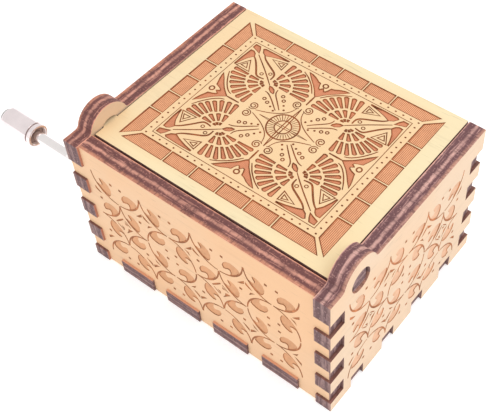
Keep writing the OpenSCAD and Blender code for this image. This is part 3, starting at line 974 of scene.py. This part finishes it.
class MUSICBOX_OT_side_walls(bpy.types.Operator):
    """Crank wall and plain wall with their ears, engraved outside"""

    bl_idname = "musicbox.side_walls"
    bl_label = "Side walls"

    def execute(self, context):
        c = colours()
        face = veneer("side_wall_veneer", tuple(c.side_veneer), 1)
        inner = veneer(
            "side_wall_inner_veneer", tuple(c.side_veneer), 1, (1, 24.1 * MM, 24.7 * MM),
            toast=shade(c.toast, (0.62, 0.52, 0.55)),
        )
        engraving = engraving_finishes("side_wall_leaf", c.side_leaf, shade(c.burnt_wall, 1.12))
        for node, side in (("plain_wall", 1), ("crank_wall", -1)):
            low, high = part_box(node)
            wall = clean_copy(node, node + "_panel", flat=True)
            outside, inside = (high.x, low.x) if side > 0 else (low.x, high.x)
            edges = wall_edges(node, 0, outside, inside, plum=node == "plain_wall")
            assign_faces(wall, 0, [face, edges[0], *engraving, *edges[1:], inner], fingers=True, outward=side)
            engrave_wall(wall, (outside, -0.65 * MM, 0), (0, side, 0), 3, 18.2)
            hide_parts(node)
            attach(wall, "box")
        return {"FINISHED"}


class MUSICBOX_OT_bottom(bpy.types.Operator):
    """Bottom panel with its tabs"""

    bl_idname = "musicbox.bottom"
    bl_label = "Bottom panel"

    def execute(self, context):
        c = colours()
        low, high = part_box("bottom_panel")
        panel = clean_copy("bottom_panel", "bottom_panel_ply", flat=True)
        assign_faces(
            panel, 2,
            [
                veneer("bottom_veneer", tuple(c.side_veneer), 0, (1, 24.4 * MM, 24.7 * MM)),
                # The bottom panel's cut faces take the end kind, with its painted shade.
                cut_edge("bottom_cut_edge", 2, low.z, high.z, "end"),
            ],
        )
        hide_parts("bottom_panel")
        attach(panel, "box")
        return {"FINISHED"}


def give(node, finish):
    """A better material on a CAD node that stays."""
    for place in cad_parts[node].material_slots:
        place.material = finish


class MUSICBOX_OT_crank(bpy.types.Operator):
    """Bent chromed rod, its worm, clip, washer and the hollow knob"""

    bl_idname = "musicbox.crank"
    bl_label = "Crank and knob"

    def execute(self, context):
        chrome, brass, spring, steel = (236, 230, 228), (214, 176, 104), (150, 152, 158), (190, 186, 184)
        give("crank_rod", metal("crank_chrome_plate", paint(*chrome), 0.14, 600.0, 0.05, 0.03))
        give("worm", metal("worm_brass_turned", paint(*brass), 0.28, 900.0, 0.14, 0.08, (3.0, 0.3, 0.3)))
        give("shaft_clip", metal("clip_spring_steel", paint(*spring), 0.35, 900.0, 0.12, 0.08, grime=0.2))
        give("knob_washer", metal("washer_steel", paint(*steel), 0.3, 900.0, 0.12, 0.08, grime=0.2))
        self.knob()
        return {"FINISHED"}

    def knob(self):
        low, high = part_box("knob")
        middle = (low + high) / 2
        radius = (high.z - low.z) / 2
        inner, outer = high.x, low.x
        wall, hollow, bore = 0.55 * MM, 2.6 * MM, 1.3 * MM
        barrel = radius - wall
        groove, groove_depth, lip = inner - 1.15 * MM, 0.22 * MM, 0.03 * MM
        profile = [  # from the hollow's floor round the inner rim, over the groove and to the outer end
            (inner - hollow, bore),
            (inner - hollow, barrel - 0.25 * MM),
            (inner - hollow + 0.25 * MM, barrel),
            (inner - 0.1 * MM, barrel),
            (inner, barrel + 0.1 * MM),
            (inner, radius - 0.14 * MM),
            (inner - 0.04 * MM, radius - 0.05 * MM),
            (inner - 0.14 * MM, radius),
        ]
        groove_side = [(0.2 * MM, 0.0), (0.17 * MM, lip), (0.15 * MM, groove_depth)]
        profile += [(groove + x, radius - depth) for x, depth in groove_side]
        profile += [(groove - x, radius - depth) for x, depth in groove_side[::-1]]
        steps, rounding = 8, 0.8 * MM
        for k in range(steps + 1):
            a = math.radians(90 * k / steps)
            profile.append((outer + rounding * (1 - math.sin(a)), radius - rounding * (1 - math.cos(a))))
        profile += [(outer, bore + 0.12 * MM), (outer + 0.12 * MM, bore)]
        deselect()
        bpy.ops.mesh.primitive_circle_add(
            vertices=len(profile), radius=radius, fill_type="NOTHING", location=(0, 0, 0)
        )
        knob = bpy.context.object
        knob.name = "knob_shell"
        for vertex, (x, r) in zip(knob.data.vertices, profile):
            vertex.co = (x, middle.y, middle.z + r)
        edit(knob)
        axis = {"center": (0, middle.y, middle.z), "axis": (1, 0, 0)}
        bpy.ops.mesh.spin(steps=64, angle=math.tau, dupli=False, use_auto_merge=True, **axis)
        bpy.ops.mesh.select_all(action="SELECT")
        bpy.ops.mesh.remove_doubles(threshold=MERGE)
        bpy.ops.mesh.normals_make_consistent(inside=False)
        done()
        pick(knob)
        bpy.ops.object.shade_smooth_by_angle(angle=math.radians(35))
        f = Finish("knob_chrome_plate", metallic=1.0)
        smear = f.streaks((300.0, 1400.0, 1400.0), 3.0)
        cloud = f.noise(260.0, 2.0)
        shine = paint(238, 226, 226)
        tone = f.ramp(cloud, [(0.3, shade(shine, 0.94)), (0.7, shade(shine, 1.03))])
        off_axis = f.vector("SUBTRACT", f.place, (0.0, middle.y, middle.z))
        radial = f.vector("LENGTH", f.vector("MULTIPLY", off_axis, (0.0, 1.0, 1.0)))
        recess = (f.axis(0) > inner - hollow - 0.1 * MM) * (radial < barrel + 0.02 * MM)
        # Painted shade: the groove round the knob is painted dark and less metallic.
        groove_shade = (f.axis(0) > groove - 0.16 * MM) * (f.axis(0) < groove + 0.16 * MM)
        groove_shade = groove_shade * (radial < radius - 0.04 * MM)
        tone = f.blend(recess * 0.95, tone, paint(244, 226, 220))
        tone = f.blend(groove_shade * 0.8, tone, paint(150, 122, 116))
        f.wire("Base Color", tone)
        f.wire("Metallic", 1.0 - recess * 0.9 - groove_shade * 0.6)
        f.wire("Roughness", smear * 0.12 + (recess * 0.3 + 0.1))
        f.bump(smear, 0.05, 0.00004)
        knob.data.materials.append(f.material)
        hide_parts("knob")
        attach(knob, "knob")


class MUSICBOX_OT_bed(bpy.types.Operator):
    """Cast bedplate with bearing post, worm bracket and their screws"""

    bl_idname = "musicbox.bed"
    bl_label = "Bedplate and brackets"

    def execute(self, context):
        s = sizes()
        cast = Finish("cast_zinc", metallic=0.85, roughness=0.55)
        grain = cast.noise(1500.0, 4.0)
        cloud = cast.noise(160.0, 2.0)
        stops = [(0.3, paint(126, 126, 124)), (0.7, paint(172, 172, 170))]
        cast.wire("Base Color", cast.ramp(grain * 0.4 + cloud * 0.6, stops))
        cast.wire("Roughness", grain * 0.25 + 0.42)
        cast.bump(grain, 0.35, 0.00012)
        metal_copy("bedplate", "bedplate_casting", cast.material, "box", s.cast_round, 3)
        strip = metal("bracket_strip_steel", paint(188, 188, 190), 0.34, 1300.0, 0.12, 0.1, (0.2, 1.0, 1.0))
        for node in ("worm_bracket", "bearing_post"):
            metal_copy(node, node + "_strip", strip, "box", s.metal_round)
        screw = metal("screw_nickel", paint(204, 198, 186), 0.3, 1200.0, 0.1, 0.08, grime=0.25)
        for node in ("bedplate_screws", "bracket_screws", "post_screw", "comb_screws", "cylinder_arbor"):
            give(node, screw)
        return {"FINISHED"}


class MUSICBOX_OT_comb(bpy.types.Operator):
    """Tuned comb with its lead weights"""

    bl_idname = "musicbox.comb"
    bl_label = "Comb"

    def execute(self, context):
        steel = metal("comb_ground_steel", paint(196, 198, 202), 0.26, 2600.0, 0.14, 0.12, (1.0, 0.06, 1.0))
        metal_copy("comb", "comb_teeth", steel, "box", sizes().metal_round * 0.6, 1)
        lead = metal("bass_lead_soft", paint(112, 112, 118), 0.6, 700.0, 0.18, 0.3, metallic=0.7, grime=0.3)
        give("bass_weights", lead)
        return {"FINISHED"}


class MUSICBOX_OT_cylinder(bpy.types.Operator):
    """Pinned brass cylinder with caps, pins and worm wheel"""

    bl_idname = "musicbox.cylinder"
    bl_label = "Cylinder"

    def execute(self, context):
        s = sizes()
        yellow, turned_marks = paint(222, 184, 112), (0.25, 6.0, 0.25)
        brass = metal("drum_brass_turned", yellow, 0.24, 900.0, 0.12, 0.08, turned_marks, grime=0.12)
        give("cylinder", brass)
        metal_copy("cylinder_caps", "cylinder_end_caps", brass, "cylinder", s.metal_round)
        bright = paint(206, 204, 200)
        give("cylinder_pins", metal("pin_bright_steel", bright, 0.3, 1500.0, 0.12, 0.08, grime=0.15))
        nylon = Finish("wheel_white_nylon", roughness=0.42)
        haze = nylon.noise(420.0, 2.0)
        stops = [(0.3, paint(222, 218, 204)), (0.7, paint(240, 237, 226))]
        nylon.wire("Base Color", nylon.ramp(haze, stops))
        nylon.wire("Roughness", haze * 0.2 + 0.34)
        nylon.bump(haze, 0.1, 0.00008)
        wheel = nylon.material
        metal_copy("worm_wheel", "worm_wheel_nylon", wheel, "cylinder", s.metal_round)
        return {"FINISHED"}


class MUSICBOX_OT_stage(bpy.types.Operator):
    """Pale floor, soft lights and the camera"""

    bl_idname = "musicbox.stage"
    bl_label = "Studio stage"

    def execute(self, context):
        deselect()
        bpy.ops.mesh.primitive_plane_add(size=6.0, location=(0, 0, -0.02 * MM))
        floor = bpy.context.object
        floor.name = "studio_floor"
        white = Finish("studio_white", roughness=0.9)
        stops = [(0.0, (0.93, 0.93, 0.93)), (1.0, (0.95, 0.95, 0.95))]
        white.wire("Base Color", white.ramp(white.noise(3.0, 1.0), stops))
        white.shader.inputs["Emission Color"].default_value = (1.0, 1.0, 1.0, 1.0)
        white.shader.inputs["Emission Strength"].default_value = 0.34
        floor.data.materials.append(white.material)
        world = bpy.data.worlds.new("studio_light")
        world.use_nodes = True
        sky = world.node_tree.nodes["Background"]
        sky.inputs["Color"].default_value = (1.0, 1.0, 1.0, 1.0)
        sky.inputs["Strength"].default_value = 0.95
        context.scene.world = world
        for name, place, size, power in (
            ("key_softbox", (0.26, 0.05, 0.42), 0.34, 0.55),
            ("fill_softbox", (-0.12, -0.42, 0.24), 0.4, 0.12),
        ):
            bpy.ops.object.light_add(type="AREA", location=place)
            lamp = bpy.context.object
            lamp.name = name
            lamp.data.size = size
            lamp.data.energy = power
            aim = Vector((0, 0, 0.015)) - Vector(place)
            lamp.rotation_euler = aim.to_track_quat("-Z", "Y").to_euler()
        bpy.ops.object.camera_add(
            location=(84.04 * MM, -95.27 * MM, 176.31 * MM),
            rotation=(math.radians(90 - 49.19), 0.0, math.radians(36.75)),
        )
        camera = bpy.context.object
        camera.name = "studio_camera"
        camera.rotation_euler.rotate_axis("Z", math.radians(-0.18))
        camera.data.sensor_width = 36.0
        camera.data.lens = 71.7
        camera.data.shift_x = -0.1714
        camera.data.shift_y = -0.0961
        camera.data.clip_start = 0.005
        context.scene.camera = camera
        context.scene.view_settings.view_transform = "Standard"
        return {"FINISHED"}


class MUSICBOX_PT_panel(bpy.types.Panel):
    bl_label = "Music Box"
    bl_idname = "MUSICBOX_PT_panel"
    bl_space_type = "VIEW_3D"
    bl_region_type = "UI"
    bl_category = "Music Box"

    def draw(self, context):
        for group in (context.scene.music_box_sizes, context.scene.music_box_colours):
            box = self.layout.box()
            for key in group.__annotations__:
                box.prop(group, key)
        for operator in OPERATORS:
            self.layout.operator(operator.bl_idname)


GROUPS = (MusicBoxSizes, MusicBoxColours)
OPERATORS = (
    MUSICBOX_OT_lid,
    MUSICBOX_OT_long_walls,
    MUSICBOX_OT_side_walls,
    MUSICBOX_OT_bottom,
    MUSICBOX_OT_crank,
    MUSICBOX_OT_bed,
    MUSICBOX_OT_comb,
    MUSICBOX_OT_cylinder,
    MUSICBOX_OT_stage,
)
CLASSES = GROUPS + OPERATORS + (MUSICBOX_PT_panel,)


def register():
    for cls in CLASSES:
        bpy.utils.register_class(cls)
    bpy.types.Scene.music_box_sizes = bpy.props.PointerProperty(type=MusicBoxSizes)
    bpy.types.Scene.music_box_colours = bpy.props.PointerProperty(type=MusicBoxColours)


def unregister():
    del bpy.types.Scene.music_box_colours
    del bpy.types.Scene.music_box_sizes
    for cls in reversed(CLASSES):
        bpy.utils.unregister_class(cls)


def main():
    register()
    bpy.ops.musicbox.lid()
    bpy.ops.musicbox.long_walls()
    bpy.ops.musicbox.side_walls()
    bpy.ops.musicbox.bottom()
    bpy.ops.musicbox.crank()
    bpy.ops.musicbox.bed()
    bpy.ops.musicbox.comb()
    bpy.ops.musicbox.cylinder()
    bpy.ops.musicbox.stage()
    deselect()


if __name__ == "__main__":
    main()
